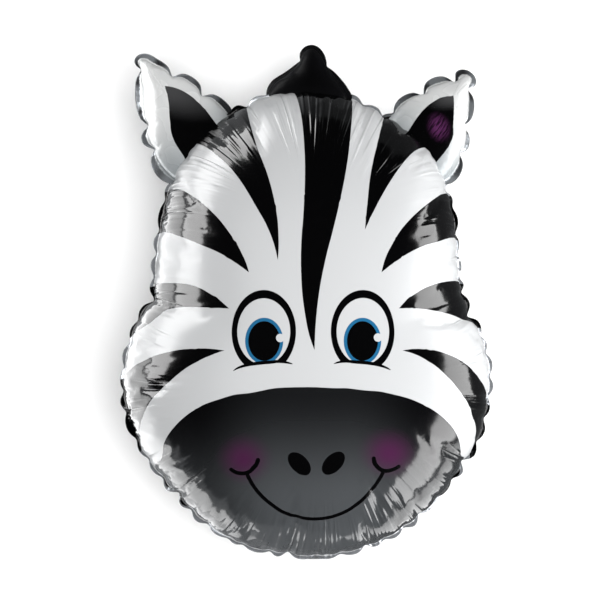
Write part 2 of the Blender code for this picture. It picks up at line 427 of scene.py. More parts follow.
def fill_with_gas(foil, slack):
    """Inflates the sheets between their pinned welds, and lets each length grow by its slack."""
    gas = foil.modifiers.new("gas", "CLOTH")
    film = gas.settings
    film.quality = 8
    film.mass = 0.02
    film.tension_stiffness = film.compression_stiffness = film.shear_stiffness = FOIL_STIFFNESS
    film.bending_stiffness = 0.001
    film.tension_damping = film.compression_damping = film.shear_damping = 5
    film.bending_damping = 0.5
    film.air_damping = 2.0
    film.use_pressure = True
    film.uniform_pressure_force = GAS_PRESSURE
    film.vertex_group_mass = "weld"
    film.pin_stiffness = 5
    film.vertex_group_shrink = "taut"
    film.shrink_min = -slack
    film.shrink_max = 0.0
    film.effector_weights.gravity = 0
    gas.collision_settings.use_collision = False
    frames = GAS_FRAMES
    gas.point_cache.frame_start, gas.point_cache.frame_end = 1, frames
    scene.frame_start, scene.frame_end = 1, frames
    for at in range(1, frames + 1):
        scene.frame_set(at)
    select_only(foil)
    bpy.ops.object.modifier_apply(modifier=gas.name)
    scene.frame_set(1)
    foil.vertex_groups.clear()


def select_only(piece):
    bpy.ops.object.select_all(action="DESELECT")
    piece.select_set(True)
    bpy.context.view_layer.objects.active = piece


def finish_foil(foil, top, bottom, place):
    """Brings the bulges to their heights, moves the chamber to its place and rounds its facets."""
    heights = [vert.co.z for vert in foil.data.vertices]
    up, down = top / max(heights), bottom / -min(heights)
    for vert in foil.data.vertices:
        vert.co.z *= up if vert.co.z > 0 else down
    foil.data.transform(place)
    select_only(foil)
    rounded = foil.modifiers.new("rounded", "SUBSURF")
    rounded.levels = rounded.render_levels = 1
    bpy.ops.object.modifier_apply(modifier=rounded.name)
    bpy.ops.object.shade_smooth()


head_corners = [head_spot(shares) for shares in (HEAD_SHAPE[0], *reversed(HEAD_SHAPE[1:]))]
head_place = Matrix.Translation((0, 0, weld_height))
head, head_slack = welded_sheets(
    "head_foil", head_corners, head_spot(HEAD_MIDDLE), (FACE_BULGE, BACK_BULGE),
    (HEAD_FACET * COARSER, BACK_FACET * COARSER), head_place, HEAD_GATHERS)
fill_with_gas(head, head_slack)
finish_foil(head, FACE_BULGE, BACK_BULGE + FLATTENED, head_place)

# The balloon's weight presses a flat spot into the middle of the back
for vert in head.data.vertices:
    vert.co.z = max(vert.co.z, 0.0)

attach(head, "root")
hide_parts("foil_balloon")


# The print on the head
# Black and white inks lie on the flat sheets before they are welded, with a gloss film over them,
# so the print follows the foil down its sides and into the weld. Every place is given where the
# photograph shows it, and taken back to the flat sheet through the point of the foil seen there.
INK_EDGE = 0.0004
INK_GLOSS = 1.5
BLACK = (0.0012, 0.0012, 0.0014)
PEARL_WHITE = (0.470, 0.477, 0.484)
SILVER = (0.32, 0.34, 0.36)
BARE_FILM = (0.62, 0.64, 0.67)


class Value:
    """A number or vector in a material. Sums of values add Math nodes, and node() adds any other."""

    def __init__(self, tree, socket=None):
        self.tree = tree
        self.socket = socket

    def node(self, kind, settings, inputs, output=0):
        """Adds a node: its settings first, or its curve's points, then the values of its sockets."""
        added = self.tree.nodes.new(kind)
        for name, setting in settings.items():
            if name == "curve_points":
                curve = added.mapping.curves[0]
                while len(curve.points) < len(setting):
                    curve.points.new(0.5, 0.5)
                for point, spot in zip(curve.points, setting):
                    point.location = spot
                added.mapping.update()
            else:
                setattr(added, name, setting)
        for name, value in inputs.items():
            if isinstance(value, Value):
                self.tree.links.new(value.socket, added.inputs[name])
            else:
                added.inputs[name].default_value = value
        return Value(self.tree, added.outputs[output])

    def math(self, operation, *values):
        return self.node("ShaderNodeMath", {"operation": operation}, dict(enumerate(values)))

    def __add__(self, other):
        return self.math("ADD", self, other)

    def __radd__(self, other):
        return self.math("ADD", other, self)

    def __sub__(self, other):
        return self.math("SUBTRACT", self, other)

    def __rsub__(self, other):
        return self.math("SUBTRACT", other, self)

    def __mul__(self, other):
        return self.math("MULTIPLY", self, other)

    def __rmul__(self, other):
        return self.math("MULTIPLY", other, self)

    def __truediv__(self, other):
        return self.math("DIVIDE", self, other)

    def __pow__(self, other):
        return self.math("POWER", self, other)

    def __and__(self, other):
        return self.math("MINIMUM", self, other)

    def __or__(self, other):
        return self.math("MAXIMUM", self, other)

    def ramp(self, start, end, low=0.0, high=1.0):
        """Runs smoothly from low, where this value is at start, to high at end."""
        return self.node("ShaderNodeMapRange", {"interpolation_type": "SMOOTHSTEP"},
                         {"Value": self, "From Min": start, "From Max": end, "To Min": low, "To Max": high})

    def inked(self):
        """1 where this length is above 0, with the soft edge of a printed line."""
        return self.ramp(-INK_EDGE / 2, INK_EDGE / 2)

    def mix(self, low, high):
        """The colour between two, with this value as the share of the second."""
        return self.node("ShaderNodeMix", {"data_type": "RGBA"}, {0: self, 6: low, 7: high}, 2)


class Sheet:
    """A printed sheet: its material's values, and where pixels of the photograph are on it."""

    def __init__(self, name, foil):
        self.material = bpy.data.materials.new(name)
        self.material.use_nodes = True
        self.tree = self.material.node_tree
        self.shader = self.tree.nodes["Principled BSDF"]
        start = Value(self.tree)
        spot = start.node("ShaderNodeAttribute", {"attribute_name": "print_spot"}, {}, "Vector")
        split = {axis: start.node("ShaderNodeSeparateXYZ", {}, {0: spot}, axis) for axis in "XYZ"}
        self.x, self.y, self.side = split["X"], split["Y"], split["Z"]
        self.face = self.side.ramp(-0.1, 0.1)
        self.out = start.node("ShaderNodeAttribute", {"attribute_name": "out_share"}, {}, "Fac")
        self.mesh = foil.data
        self.tree_of_faces = BVHTree.FromPolygons([v.co for v in self.mesh.vertices],
                                                  [p.vertices for p in self.mesh.polygons])
        foil.data.materials.append(self.material)

    def spot(self, pixel):
        """The place on the flat sheet that a pixel shows, or the nearest one where it looks past it."""
        ray = sight_line(pixel)
        hit, _, index, _ = self.tree_of_faces.ray_cast(camera_spot, ray)
        if hit is None:
            beside = camera_spot + ray * ((weld_height + 0.01 - camera_spot.z) / ray.z)
            hit, _, index, _ = self.tree_of_faces.find_nearest(beside)
        corners = self.mesh.polygons[index].vertices
        weights = poly_3d_calc([self.mesh.vertices[i].co for i in corners], hit)
        prints = self.mesh.attributes["print_spot"].data
        place = sum((weight * prints[i].vector for weight, i in zip(weights, corners)), Vector())
        return place.xy

    def curve(self, value, spots):
        """A value read off the smooth curve through a few spots, (place, height), sorted by place."""
        places, heights = [spot[0] for spot in spots], [spot[1] for spot in spots]
        low, high = min(heights) - 0.001, max(heights) + 0.001
        length = places[-1] - places[0]
        points = [((place - places[0]) / length, (height - low) / (high - low)) for place, height in spots]
        along = (value - places[0]) / length
        read = value.node("ShaderNodeFloatCurve", {"curve_points": points}, {"Value": along})
        return read * (high - low) + low

    def stripe(self, tip, one_edge, other_edge):
        """A stripe that widens from its tip to the weld between two edges, each a list of pixels."""
        start = self.spot(tip)
        ends = [self.spot(one_edge[-1]), self.spot(other_edge[-1])]
        along = ((ends[0] + ends[1]) / 2 - start).normalized()
        across = Vector((-along.y, along.x))
        place = (self.x - start.x) * along.x + (self.y - start.y) * along.y
        aside = (self.x - start.x) * across.x + (self.y - start.y) * across.y
        edges = []
        for pixels in (one_edge, other_edge):
            spots = [self.spot(pixel) - start for pixel in pixels]
            spots = sorted([(0.0, 0.0)] + [(spot.dot(along), spot.dot(across)) for spot in spots])
            edges.append((sum(spot[1] for spot in spots) / len(spots), self.curve(place, spots)))
        edges.sort(key=lambda edge: edge[0])
        return (aside - edges[0][1]).inked() & (edges[1][1] - aside).inked() & place.inked()

    def oval(self, middle, right, top):
        """1 in the middle of an oval and 0 at its rim, from the pixels of its middle, right and top."""
        centre = self.spot(middle)
        axes = Matrix((self.spot(right) - centre, self.spot(top) - centre)).transposed().inverted()
        x, y = self.x - centre.x, self.y - centre.y
        across = x * axes[0][0] + y * axes[0][1]
        upward = x * axes[1][0] + y * axes[1][1]
        return 1 - (across * across + upward * upward) ** 0.5

    def polar(self, middle):
        """The turn about a pixel, in radians, and the distance from it."""
        centre = self.spot(middle)
        x, y = self.x - centre.x, self.y - centre.y
        return x.math("ARCTAN2", y, x), (x * x + y * y) ** 0.5

    def turns(self, middle, pixels):
        centre = self.spot(middle)
        offsets = [self.spot(pixel) - centre for pixel in pixels]
        return sorted((math.atan2(offset.y, offset.x), offset.length) for offset in offsets)

    def blob(self, middle, pixels):
        """A closed shape round its middle, through the pixels of its edge."""
        turns = self.turns(middle, pixels)
        first, last = turns[0], turns[-1]
        spots = [(last[0] - 2 * math.pi, last[1]), *turns, (first[0] + 2 * math.pi, first[1])]
        turn, distance = self.polar(middle)
        return self.curve(turn, spots) - distance

    def stroke(self, middle, pixels, width, pointed=False):
        """A line through pixels that lie round a middle, a few pixels wide, with round or thin ends."""
        turns = self.turns(middle, pixels)
        (start, start_distance), (end, end_distance) = turns[0], turns[-1]
        half = width / 2 * PIXEL
        turn, distance = self.polar(middle)
        aside = distance - self.curve(turn, turns)
        aside = aside.math("ABSOLUTE", aside)
        run = (turn - start).inked() & (end - turn).inked()
        if pointed:
            from_middle = (turn - (start + end) / 2) / ((end - start) / 2)
            swell = (1 - from_middle * from_middle) | 0.0
            return (half * swell ** 0.5 - aside).inked() & run
        line = (half - aside).inked() & run
        for at, away in ((start, start_distance), (end, end_distance)):
            centre = self.spot(middle) + Vector((math.cos(at), math.sin(at))) * away
            x, y = self.x - centre.x, self.y - centre.y
            line = line | (half - (x * x + y * y) ** 0.5).inked()
        return line

    def finish(self, colour, roughness, metallic, height, gloss):
        """The film's look, with a gloss that is its index of refraction and a height in millimetres."""
        crease = colour.node("ShaderNodeBump", {}, {"Distance": 0.001, "Height": height})
        values = {"Base Color": colour, "Roughness": roughness, "Metallic": metallic, "Normal": crease}
        for name, value in values.items():
            if isinstance(value, Value):
                self.tree.links.new(value.socket, self.shader.inputs[name])
            else:
                self.shader.inputs[name].default_value = value
        self.shader.inputs["IOR"].default_value = gloss


STRIPES = (
    # (tip, one edge, the other edge)
    ((314.5, 350), ((305, 314), (301.2, 275), (301.2, 245), (303.4, 214), (305, 172), (304, 142),
                    (300.4, 111), (294.6, 90)),
     ((315.7, 325), (318.4, 298), (324.5, 264), (333, 230), (341.3, 195), (347.5, 161), (351.3, 126),
      (351.5, 98))),
    ((277.8, 260), ((278.6, 237), (276.3, 210), (268, 176), (256.4, 145), (246.8, 109)),
     ((270, 233), (256.4, 207), (237, 176), (214, 153), (191, 142))),
    ((249, 272.4), ((243, 256), (229.6, 233), (210.5, 210.5), (191, 195), (168.4, 191)),
     ((226, 257), (199, 244), (176, 235), (158.8, 234))),
    ((229, 308.5), ((210.5, 294), (191, 285), (172, 283), (155, 285)),
     ((206.6, 307.5), (179, 307.5), (170, 309), (158.7, 316), (147, 325), (131, 337))),
    ((224.6, 350.5), ((195, 349), (168.4, 352), (145.4, 360), (126.3, 373)),
     ((214, 354), (191, 365), (168.4, 382.6), (153, 398), (143.5, 415), (139.7, 432))),
    ((365, 229.6), ((367.4, 203), (371, 172), (377, 145), (383.8, 117)),
     ((375, 208.6), (386.5, 187.5), (402, 164.5), (415, 151), (430.5, 146))),
    ((381.5, 272.4), ((394, 241), (409.4, 220), (428.6, 203), (449.6, 192.5)),
     ((398, 260), (417, 248.7), (440, 241), (456.5, 240))),
    ((399, 308.4), ((415, 294), (432.4, 285), (451.5, 281), (462, 281)),
     ((417, 308.4), (436, 311), (459, 318))),
    ((402.6, 350.5), ((421, 349), (444, 353), (467, 365), (482, 382.6)),
     ((428.6, 361.6), (447.7, 377), (463, 396), (472.6, 417), (475.3, 436))),
)
MUZZLE_MIDDLE = (312, 470)
MUZZLE_TOP = (312, 390)
MUZZLE_CHIN = (312, 500)
MUZZLE_SIDE = (212, 470)
MUZZLE_DARK = (0.0015, 0.0015, 0.0018)
MUZZLE_GREY = (0.054, 0.058, 0.062)
MUZZLE_EDGE = (
    (317.6, 387.3), (350, 388.5), (382.7, 392), (413, 400), (440, 415), (455.4, 432), (460.3, 455),
    (466, 480), (440, 520), (380, 550), (312, 562), (245, 550), (207.3, 531.4), (191.2, 517.6),
    (179.7, 502.7), (171.7, 489), (163.6, 477.4), (161.5, 459), (164.5, 442), (176, 425),
    (199, 407.5), (229.6, 396), (270, 389),
)
EYES = (
    {"middle": (263.6, 331.5), "rim": (32.4, 41.5), "white": (26.6, 33.2), "iris": (19.1, 23.2),
     "pupil": (15.9, 19.8), "dark_middle": (264.1, 341), "glint": (280.2, 338), "lid_middle": (270, 470),
     "lid": ((233.2, 371), (244.6, 365.6), (257.4, 363.3), (270, 362.2), (280, 361.6), (292.8, 364))},
    {"middle": (363.2, 331.3), "rim": (31.3, 41.3), "white": (25.9, 33.3), "iris": (18.6, 23.2),
     "pupil": (15.4, 19.8), "dark_middle": (362.6, 341), "glint": (378, 337.5), "lid_middle": (356, 470),
     "lid": ((333.8, 363.8), (342, 361.6), (356, 362), (370, 363.3), (380, 365.4), (390.8, 370))},
)
GLINT = 4.2
LID_WIDTH = 3.4
IRIS_BLUE = (0.009, 0.105, 0.225)
NOSTRIL_SIZE = (14, 8.5)
NOSTRILS = (((299.4, 463.8), -1), ((333.4, 463.2), 1))
SMILE_WIDTH = 4.0
SMILE_MIDDLE = (315, 445)
SMILE = ((247, 474), (258, 492), (271.7, 504.6), (289, 514.4), (307, 518.6), (323, 518.4),
         (340.5, 513.8), (357.8, 503.5), (371.5, 489.7), (383, 472.5))
BLUSH = (0.056, 0.010, 0.045)
BLUSH_SIZE = (32, 30)
CHEEK_WIDTH = 4.2
CHEEKS = (
    {"middle": (245, 457), "blush": (244.8, 459.7),
     "arc": ((231.3, 469.6), (240.7, 473.4), (248.7, 472), (255.6, 465.6), (258, 460))},
    {"middle": (387, 455), "blush": (389.3, 454.2),
     "arc": ((373.8, 458.7), (377.3, 466.7), (384.2, 470.8), (391, 470.2), (398.5, 466.7))},
)
HEAD_CREASES = 150
CREASE_HEIGHT = 0.9
SHEETS_APART = 9
FOLD_SHARPNESS = 0.16
FOLD_HEIGHT = 0.75
PLEAT_WIDTH = 0.0028
PLEAT_HEIGHT = 1.8
PLEATS = (
    # (pixel at the weld, pixel of the tip)
    ((154, 297), (190, 308)), ((155, 296), (178, 292)), ((127, 409), (153, 405)), ((128, 412), (166, 402)),
    ((131, 400), (154, 397)), ((164, 499), (216, 461)), ((168, 502), (205, 480)), ((288, 556), (298, 521)),
    ((292, 556), (300, 536)), ((369, 547), (363, 512)), ((370, 546), (356, 524)), ((427, 513), (408, 497)),
    ((419, 518), (402, 505)), ((462, 459), (431, 443)), ((461, 461), (437, 454)), ((463, 456), (441, 436)),
    ((470, 314), (443, 329)), ((470, 315), (450, 322)), ((489, 400), (466, 401)), ((489, 403), (471, 406)),
    ((459, 259), (440, 264)), ((246, 108), (263, 129)), ((385, 115), (376, 133)),
)


def beside(pixel, right, up):
    return (pixel[0] + right, pixel[1] - up)


def streaks(sheet, count, run):
    """Fine creases that run square to the weld, about so many of them round it."""
    radius = count / (2 * math.pi)
    circle = sheet.x.node("ShaderNodeAttribute", {"attribute_name": "round_weld"}, {}, "Vector")
    spread = sheet.x.node("ShaderNodeVectorMath", {"operation": "SCALE"}, {0: circle, "Scale": radius})
    lengthwise = sheet.x.node("ShaderNodeCombineXYZ", {}, {"Z": sheet.out * run + sheet.side * SHEETS_APART})
    place = sheet.x.node("ShaderNodeVectorMath", {"operation": "ADD"}, {0: spread, 1: lengthwise})
    return sheet.x.node("ShaderNodeTexNoise", {}, {
        "Vector": place, "Scale": 1.0, "Detail": 1.0, "Roughness": 0.5}, "Fac")


def fine_creases(sheet, count):
    """Sharp little folds, square to the weld and here and there, where the noise crosses its middle."""
    wave = streaks(sheet, count, 1.1) - 0.5
    fold = wave.math("ABSOLUTE", wave).ramp(0.0, FOLD_SHARPNESS, 1.0, 0.0)
    return fold * streaks(sheet, count / 4, 3.0).ramp(0.36, 0.54)


def pleat(sheet, at_weld, tip):
    """A long fold that runs from a gather of the weld to its tip, where it is narrow and low."""
    start, end = sheet.spot(at_weld), sheet.spot(tip)
    along = (end - start) / (end - start).length_squared
    across = Vector((-along.y, along.x)).normalized()
    place = (sheet.x - start.x) * along.x + (sheet.y - start.y) * along.y
    aside = (sheet.x - start.x) * across.x + (sheet.y - start.y) * across.y
    taper = place.ramp(0.0, 1.0, 1.0, 0.0)
    ridge = 1 - aside.math("ABSOLUTE", aside) / (taper * PLEAT_WIDTH + PLEAT_WIDTH / 4)
    return (ridge | 0.0) * taper * place.ramp(-0.2, -0.1)


def head_print(foil):
    sheet = Sheet("printed_head_foil", foil)
    black = sheet.stripe(*STRIPES[0])
    for stripe in STRIPES[1:]:
        black = black | sheet.stripe(*stripe)
    white = (1 - black).mix((*BLACK, 1), (*PEARL_WHITE, 1))

    # The muzzle is dark at its top and sides, and grey towards the chin
    muzzle = sheet.blob(MUZZLE_MIDDLE, MUZZLE_EDGE).inked()
    down = sheet.y.ramp(sheet.spot(MUZZLE_TOP).y, sheet.spot(MUZZLE_CHIN).y)
    half_width = abs(sheet.spot(MUZZLE_SIDE).x)
    inward = sheet.x.math("ABSOLUTE", sheet.x).ramp(half_width * 1.15, half_width * 0.3)
    weld = sheet.out.ramp(1.0, 1.02)
    grey = (down * 0.85 + 0.15) * (inward * 0.65 + down * 0.35) * (1 - weld)
    muzzle_colour = grey.mix((*MUZZLE_DARK, 1), (*MUZZLE_GREY, 1))
    for cheek in CHEEKS:
        middle = cheek["blush"]
        right, top = beside(middle, BLUSH_SIZE[0], 0), beside(middle, 0, BLUSH_SIZE[1])
        glow = sheet.oval(middle, right, top).ramp(0.0, 1.0, 0.0, 0.85)
        muzzle_colour = (glow * sheet.face).mix(muzzle_colour, (*BLUSH, 1))
    colour = muzzle.mix(white, muzzle_colour)

    line = sheet.stroke(SMILE_MIDDLE, SMILE, SMILE_WIDTH)
    for cheek in CHEEKS:
        line = line | sheet.stroke(cheek["middle"], cheek["arc"], CHEEK_WIDTH)
    for middle, lean in NOSTRILS:
        long, short = (pixels / math.sqrt(2) for pixels in NOSTRIL_SIZE)
        nostril = sheet.oval(middle, beside(middle, long * lean, long), beside(middle, -short * lean, short))
        line = line | (nostril * long * PIXEL).inked()

    for eye in EYES:
        lid_turn, lid_distance = sheet.polar(eye["lid_middle"])
        over_lid = (lid_distance - sheet.curve(lid_turn, sheet.turns(eye["lid_middle"], eye["lid"]))).inked()
        ovals = {}
        for part in ("rim", "white", "iris", "pupil"):
            middle = eye["dark_middle"] if part in ("iris", "pupil") else eye["middle"]
            width, height = eye[part]
            oval = sheet.oval(middle, beside(middle, width, 0), beside(middle, 0, height))
            ovals[part] = (oval * width * PIXEL).inked() & over_lid & sheet.face
        glint = sheet.oval(eye["glint"], beside(eye["glint"], GLINT, 0), beside(eye["glint"], 0, GLINT))
        glint = (glint * GLINT * PIXEL).inked()
        dark = ovals["pupil"] & (1 - glint)
        blue = ovals["iris"] & (1 - glint)
        colour = ovals["rim"].mix(colour, (*BLACK, 1))
        colour = ovals["white"].mix(colour, (*PEARL_WHITE, 1))
        colour = blue.mix(colour, (*IRIS_BLUE, 1))
        colour = dark.mix(colour, (*BLACK, 1))
        line = line | sheet.stroke(eye["lid_middle"], eye["lid"], LID_WIDTH, pointed=True)
    colour = (line & sheet.face).mix(colour, (*BLACK, 1))

    # The weld has no pearl coat, so its white is the silver of the film
    silver = weld.node("ShaderNodeMix", {"data_type": "RGBA", "blend_type": "MULTIPLY"},
                       {0: weld, 6: colour, 7: (*BARE_FILM, 1)}, 2)
    creases = streaks(sheet, HEAD_CREASES, 1.2) * sheet.out.ramp(0.45, 0.90) * CREASE_HEIGHT
    creases = creases + fine_creases(sheet, HEAD_CREASES) * sheet.out.ramp(0.57, 0.78) * FOLD_HEIGHT
    folds = pleat(sheet, *PLEATS[0])
    for ends in PLEATS[1:]:
        folds = folds | pleat(sheet, *ends)
    creases = creases + folds * sheet.face * PLEAT_HEIGHT
    roughness = streaks(sheet, 40, 3.0) * 0.05 + colour.ramp(0.02, 0.3, 0.10, 0.22)
    sheet.finish(silver, roughness, weld * 0.6, creases, INK_GLOSS)


head_print(head)


# The ears
# Each ear is a chamber of the same two sheets, filled through its root, which sinks into the head.
# Its face is pearl white with a dark hollow, and its weld is bare grey foil, gathered into lobes.
# Painted light and shade are in these colours: the white is lighter than the head's and greys towards
# the root, the hollow pales to a painted reflection at its tip, the right ear's hollow has a painted
# purple reflection, and the weld is darkened here and there with painted shade.
EAR_LENGTH = 0.152
EAR_WIDTH = 0.116
EAR_BULGE = 0.027
EAR_SHAPE = (
    (0.00, 1.00), (0.11, 0.965), (0.17, 0.90), (0.28, 0.80), (0.46, 0.67), (0.61, 0.57), (0.78, 0.44),
    (0.89, 0.33), (0.97, 0.17), (0.95, 0.00), (0.70, -0.18), (0.00, -0.24), (-0.70, -0.18),
    (-0.96, 0.02), (-0.97, 0.17), (-0.90, 0.33), (-0.80, 0.44), (-0.68, 0.57), (-0.57, 0.67),
    (-0.37, 0.80), (-0.21, 0.90), (-0.13, 0.97),
)
EAR_FACET = 0.0038
EAR_MIDDLE = 0.27
EAR_LOBES = (0.0095, 0.0125)
EARS = {
    "left_ear_foil": {
        "mirrored": True, "root": (-0.576, 0.870), "lean": math.radians(34), "tip_back": math.radians(7),
        "gathers": {
            "spacing": 0.06, "depth": 0.003, "lift": 0.002, "seed": 11, "lobes": EAR_LOBES,
            "creases": (((174.5, 72.5), 0.006), ((205.5, 90), 0.006), ((150, 124.6), 0.005),
                        ((152, 149.5), 0.005), ((143, 68), 0.005))},
        "hollow": ((164.8, 85.9), ((168.2, 99.7), (169.9, 120.4), (172.8, 137.6), (179.7, 150.2)),
                   ((184.3, 91.7), (200.4, 104.3), (211.8, 118))),
        "glow": None},
    "right_ear_foil": {
        "mirrored": False, "root": (0.590, 0.868), "lean": math.radians(-37), "tip_back": math.radians(23),
        "gathers": {
            "spacing": 0.06, "depth": 0.003, "lift": 0.002, "seed": 12, "lobes": EAR_LOBES,
            "creases": (((420.5, 90.5), 0.006), ((452.5, 75.4), 0.006), ((463, 87), 0.005),
                        ((466, 127), 0.005), ((463.5, 155), 0.005))},
        "hollow": ((453.6, 95.7), ((433.3, 101.8), (421, 112.7), (411.5, 126)),
                   ((453.3, 124.8), (451.5, 140.6), (439.3, 158.7))),
        "glow": (439, 127)},
}
# The ears' pearl white ink, made lighter than the head's: painted light for ears that lean away from the
# lamps.
EAR_WHITE_WITH_PAINTED_LIGHT = (0.595, 0.602, 0.600)
EAR_ROOT_PAINTED_SHADE = (0.27, 0.29, 0.30)
EAR_ROOT_SHADE = (-0.050, 0.035)
HOLLOW_PAINTED_REFLECTION = (0.052, 0.052, 0.054)
WELD_SHADE = (0.05, 0.052, 0.056)
PURPLE_PAINTED_REFLECTION = (0.075, 0.018, 0.070)
REFLECTION_STREAKS_ACROSS = 420
REFLECTION_STREAKS_UP = 50


def ear_print(sheet, ear):
    hollow = sheet.stripe(*ear["hollow"]) & sheet.face
    tip = ear["hollow"][0]
    # Painted reflection: the black hollow pales to grey towards its tip.
    painted_reflection_at_tip = sheet.oval(tip, beside(tip, 66, 0), beside(tip, 0, 66)).ramp(0.0, 0.9)
    dark = painted_reflection_at_tip.mix((*BLACK, 1), (*HOLLOW_PAINTED_REFLECTION, 1))
    # Painted reflection: a streaked purple glow in the right ear's hollow, where there is no lamp.
    if ear["glow"]:
        glow = sheet.oval(ear["glow"], beside(ear["glow"], 12, 6), beside(ear["glow"], -8, 16))
        across, up = sheet.x * REFLECTION_STREAKS_ACROSS, sheet.y * REFLECTION_STREAKS_UP
        reflection_streak_place = across.node("ShaderNodeCombineXYZ", {}, {"X": across, "Y": up})
        reflection_streaks = reflection_streak_place.node("ShaderNodeTexNoise", {}, {"Vector": reflection_streak_place, "Scale": 1, "Detail": 1}, "Fac")
        glow = glow.ramp(0.0, 0.9) * reflection_streaks.ramp(0.36, 0.60, 0.15, 1.0)
        dark = glow.mix(dark, (*PURPLE_PAINTED_REFLECTION, 1))
    # Painted shade: the pearl white greys towards the root, where the ear meets the head.
    pearl_with_painted_root_shade = sheet.y.ramp(*EAR_ROOT_SHADE).mix((*EAR_ROOT_PAINTED_SHADE, 1), (*EAR_WHITE_WITH_PAINTED_LIGHT, 1))
    colour = hollow.mix(pearl_with_painted_root_shade, dark)
    weld = sheet.out.ramp(1.0, 1.02)
    # The bare silver weld, partly darkened here and there along its lobes with painted shade.
    weld_silver_and_painted_shade = streaks(sheet, 14, 1.0).ramp(0.40, 0.62).mix((*WELD_SHADE, 1), (*SILVER, 1))
    silver = weld.mix(colour, weld_silver_and_painted_shade)
    creases = (streaks(sheet, 40, 1.0) * 0.8 + fine_creases(sheet, 44) * 0.3) * sheet.out.ramp(0.4, 0.95)
    roughness = streaks(sheet, 12, 2.0) * 0.06 + colour.ramp(0.02, 0.3, 0.12, 0.24)
    sheet.finish(silver, roughness, weld * 0.6 + 0.1, creases, INK_GLOSS)


for name, ear in EARS.items():
    turned = [(-x, y) for x, y in EAR_SHAPE] if ear["mirrored"] else [EAR_SHAPE[0], *reversed(EAR_SHAPE[1:])]
    corners = [Vector((x * EAR_WIDTH / 2, y * EAR_LENGTH)) for x, y in turned]
    root = head_spot(ear["root"])
    turn = Euler((-ear["tip_back"], 0, ear["lean"])).to_matrix().to_4x4()
    place = Matrix.Translation((root.x, root.y, weld_height)) @ turn
    foil, slack = welded_sheets(name, corners, Vector((0, EAR_LENGTH * EAR_MIDDLE)), (EAR_BULGE, EAR_BULGE),
                                (EAR_FACET * COARSER, EAR_FACET * COARSER), place, ear["gathers"])
    fill_with_gas(foil, slack)
    finish_foil(foil, EAR_BULGE, EAR_BULGE, place)
    ear_print(Sheet("printed_" + name, foil), ear)
    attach(foil, "root")
    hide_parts("foil_balloon")


# The tuft of mane
# A small flat chamber above the forehead, printed black all over on both sheets.
MANE_HEIGHT = 0.074
MANE_WIDTH = 0.112
MANE_BULGE = 0.016
MANE_TIP_BACK = math.radians(20)
MANE_ROOT = (0.01, 0.986)
MANE_SHAPE = (
    (0.17, 0.99), (0.30, 0.88), (0.44, 0.68), (0.64, 0.43), (0.85, 0.16), (0.94, -0.02), (0.70, -0.25),
    (0.00, -0.30), (-0.70, -0.25), (-0.98, -0.02), (-0.95, 0.13), (-0.80, 0.30), (-0.52, 0.45),
    (-0.31, 0.61), (-0.20, 0.80), (-0.07, 0.94), (0.05, 1.00),
)
MANE_FACET = 0.0036
MANE_GLOSS = 1.12
MANE_MIDDLE = 0.3
MANE_BLACK_AT_WELD = (0.003, 0.003, 0.0035)
MANE_GATHERS = {
    "spacing": 0.08, "depth": 0.001, "lift": 0.001, "seed": 21, "lobes": (0.007, 0.008),
    "creases": (((298, 60), 0.003), ((330, 64), 0.001))}

corners = [Vector((x * MANE_WIDTH / 2, y * MANE_HEIGHT)) for x, y in reversed(MANE_SHAPE)]
corners = corners[-1:] + corners[:-1]
root = head_spot(MANE_ROOT)
turn = Euler((-MANE_TIP_BACK, 0, 0)).to_matrix().to_4x4()
place = Matrix.Translation((root.x, root.y, weld_height)) @ turn
mane, slack = welded_sheets(
    "mane_foil", corners, Vector((0, MANE_HEIGHT * MANE_MIDDLE)), (MANE_BULGE, MANE_BULGE),
    (MANE_FACET * COARSER, MANE_FACET * COARSER), place, MANE_GATHERS)
fill_with_gas(mane, slack)
finish_foil(mane, MANE_BULGE, MANE_BULGE, place)
mane_print = Sheet("printed_mane_foil", mane)
# The black is a little lighter towards the weld.
colour = mane_print.out.ramp(0.0, 1.0).mix((*BLACK, 1), (*MANE_BLACK_AT_WELD, 1))
roughness = streaks(mane_print, 12, 2.0) * 0.08 + 0.32
creases = streaks(mane_print, 30, 1.0) * mane_print.out.ramp(0.3, 0.95) * 0.5
mane_print.finish(colour, roughness, 0.0, creases, MANE_GLOSS)
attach(mane, "root")
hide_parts("foil_balloon")


# The filling tail
# A flat neck of both sheets, left open at its end, through which the balloon is filled. It hangs
# behind the chin's weld, narrow in the middle and wider at its mouth, and is bare silver film.
CHIN = (0.053, 0.000)
TAIL_WIDTH = 0.026
TAIL_THICKNESS = 0.0012
TAIL_OPENING = 0.002
TAIL_START = 0.55
TAIL_BEHIND = 0.001
TAIL_SHADE = (0.44, 0.46, 0.48)
TAIL_SILVER = (0.60, 0.62, 0.64)
TAIL_STEPS = (
    # (drop, width, how far it has moved out)
    (0.008, 0.0215, 0.0006), (0.008, 0.0187, 0.0008), (0.012, 0.0180, 0.0004), (0.012, 0.0182, -0.0002),
    (0.008, 0.0190, -0.0006), (0.006, 0.0225, -0.0008), (0.006, 0.0260, -0.0008),
)
tail_spot = head_spot(CHIN) - Vector((0, WELD_WIDTH * TAIL_START))
bpy.ops.object.select_all(action="DESELECT")
bpy.ops.mesh.primitive_plane_add(size=1, location=(tail_spot.x, tail_spot.y, weld_height - TAIL_BEHIND),
                                 rotation=(math.pi / 2, 0, 0))
tail = bpy.context.object
tail.name = tail.data.name = "filling_tail"
tail.scale = (TAIL_WIDTH, TAIL_OPENING, 1)
bpy.ops.object.transform_apply(location=True, rotation=True, scale=True)
bpy.ops.object.mode_set(mode="EDIT")
bpy.ops.mesh.select_mode(type="VERT")
width, out = TAIL_WIDTH, 0.0
